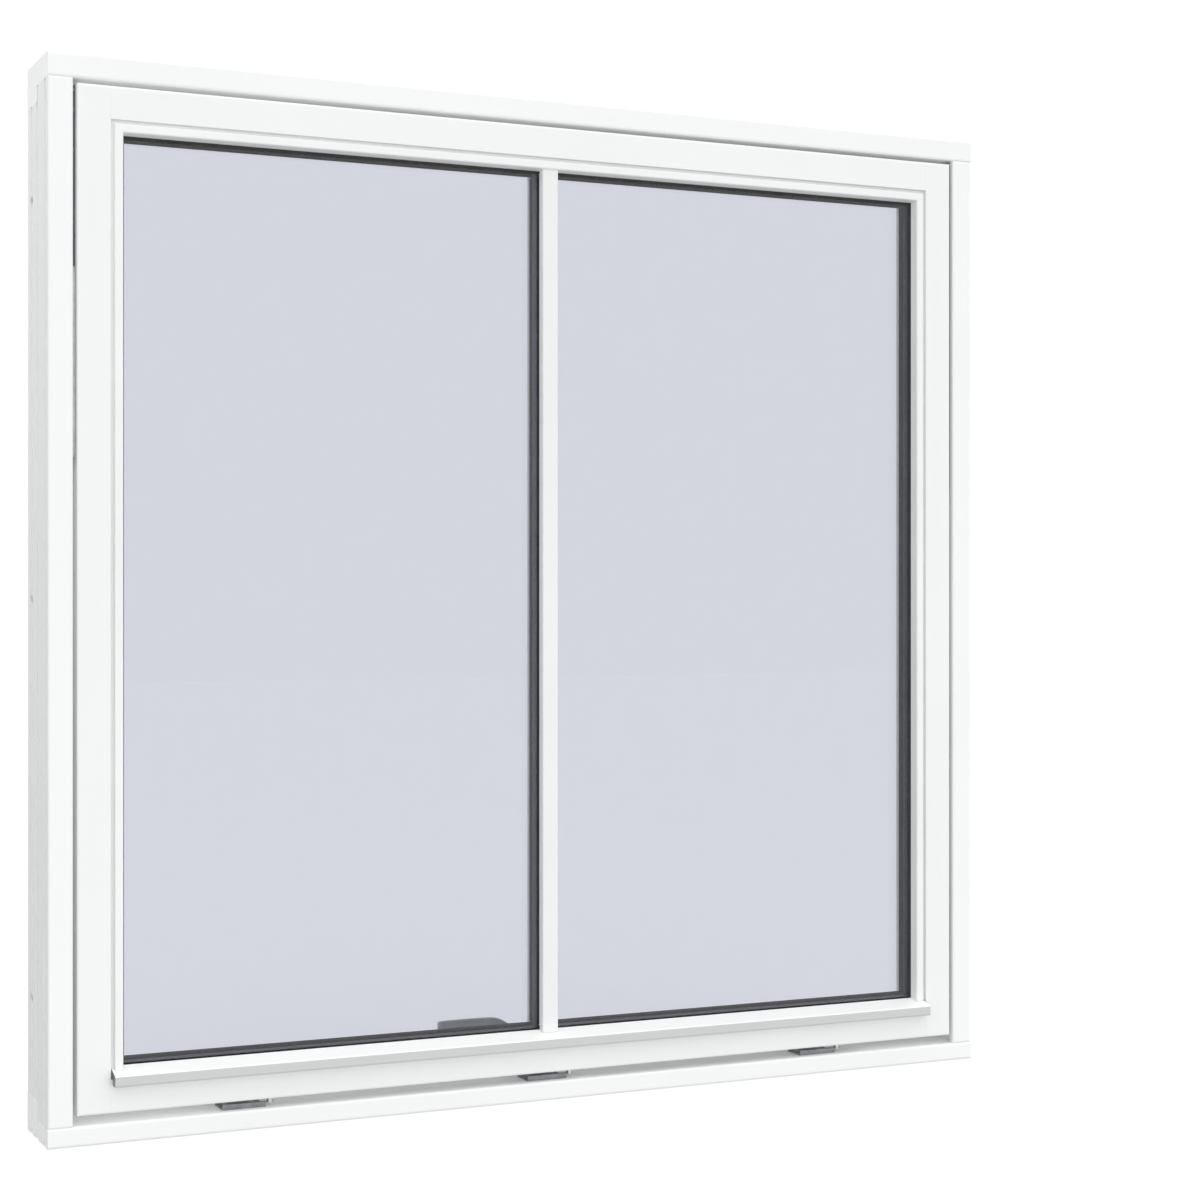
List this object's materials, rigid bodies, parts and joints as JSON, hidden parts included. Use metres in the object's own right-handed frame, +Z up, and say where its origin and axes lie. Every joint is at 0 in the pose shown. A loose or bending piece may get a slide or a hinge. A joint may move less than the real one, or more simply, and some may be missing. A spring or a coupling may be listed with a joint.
{
  "type": "casement window",
  "caption": "Square white timber window whose outward-opening sash hangs on stay arms and sliding shoes, with sealed glazing, a glazing bar, drip bead and lever lock.",
  "frame": {"origin": "centre of the sill's flat underside", "axes": "+Z up; +Y from outdoors into the room, along the frame's depth; +X to the right seen from outdoors"},
  "size_m": [1.188, 0.123, 1.188],
  "materials": {
    "frame_paint": "factory-painted timber, semi-matt",
    "sash_paint": "factory-painted timber, semi-matt",
    "bead_coating": "powder-coated extrusion, satin",
    "seal_rubber": "matt",
    "sealant": "matt",
    "foam_tape": "matt foam",
    "glass": "clear float glass",
    "spacer": "matt warm-edge profile",
    "fastener_zinc": "bright zinc",
    "stay_steel": "zinc-plated, satin",
    "keep_steel": "zinc-plated, satin",
    "plate_steel": "dark passivated, satin",
    "lock_steel": "zinc-plated, satin",
    "dark_nylon": "moulded, matt",
    "setting_plastic": "moulded, matt",
    "handle_metal": "satin die-cast",
    "dowel_wood": "plain beech"
  },
  "bodies": {
    "frame": {"frame_head": "frame_paint", "frame_sill": "frame_paint", "frame_jamb_left": "frame_paint", "frame_jamb_right": "frame_paint", "frame_gasket": "seal_rubber", "frame_corner_screws": "fastener_zinc", "frame_sleeves": "fastener_zinc", "guide_rail_left": "stay_steel", "guide_rail_right": "stay_steel", "guide_rail_screws": "fastener_zinc", "arm_foot_pins": "stay_steel", "keep_left": "keep_steel", "keep_center": "keep_steel", "keep_right": "keep_steel", "keep_screws": "fastener_zinc"},
    "stay_arms": {"stay_arm_left": "stay_steel", "stay_arm_right": "stay_steel", "arm_bushes": "dark_nylon"},
    "sash": {"sash_top_rail": "sash_paint", "sash_bottom_rail": "sash_paint", "sash_stile_left": "sash_paint", "sash_stile_right": "sash_paint", "sash_dowels": "dowel_wood", "glass_outer": "glass", "glass_inner": "glass", "spacer_frame": "spacer", "spacer_bar": "spacer", "edge_sealant": "sealant", "glazing_gasket_outer": "seal_rubber", "glazing_gasket_inner": "seal_rubber", "setting_blocks": "setting_plastic", "bead_top": "bead_coating", "bead_left": "bead_coating", "bead_right": "bead_coating", "drip_bead": "bead_coating", "drip_cap_left": "dark_nylon", "drip_cap_right": "dark_nylon", "glazing_bar_outer": "bead_coating", "glazing_bar_inner": "bead_coating", "bar_tape": "foam_tape", "sash_plate_left": "plate_steel", "sash_plate_right": "plate_steel", "sash_plate_screws": "fastener_zinc", "arm_middle_pins": "stay_steel", "shoe_pins": "stay_steel", "lock_case": "lock_steel", "lock_faceplate": "lock_steel", "faceplate_screws": "fastener_zinc", "handle_base": "handle_metal", "handle_screws": "fastener_zinc"},
    "guide_shoes": {"guide_shoe_left": "dark_nylon", "guide_shoe_right": "dark_nylon"},
    "handle": {"lock_pinion": "lock_steel", "handle_spindle": "lock_steel", "handle_lever": "handle_metal"},
    "lock_rod": {"lock_rod": "lock_steel", "lock_cams": "lock_steel"}
  },
  "joints": [
    {"name": "stay_swing", "type": "hinge", "parent": "frame", "child": "stay_arms", "pos_m": [0, -0.038, 0.7555], "axis": [1, 0, 0], "range_deg": [0, 60]},
    {"name": "sash_swing", "type": "hinge", "parent": "stay_arms", "child": "sash", "pos_m": [0, -0.038, 0.9535], "axis": [1, 0, 0], "range_deg": [-120, 0]},
    {"name": "shoe_swing", "type": "hinge", "parent": "sash", "child": "guide_shoes", "pos_m": [0, -0.038, 1.1515], "axis": [1, 0, 0], "range_deg": [0, 60]},
    {"name": "handle_turn", "type": "hinge", "parent": "sash", "child": "handle", "pos_m": [0, -0.035, 0.053], "axis": [0, 1, 0], "range_deg": [0, 90]},
    {"name": "rod_slide", "type": "slide", "parent": "sash", "child": "lock_rod", "axis": [-1, 0, 0], "range_m": [0, 0.01414]}
  ],
  "couplings": [
    {"joint": "sash_swing", "follows": "stay_swing", "ratio": -2},
    {"joint": "shoe_swing", "follows": "stay_swing", "ratio": 1},
    {"joint": "rod_slide", "follows": "handle_turn", "m_per_rad": 0.009}
  ]
}
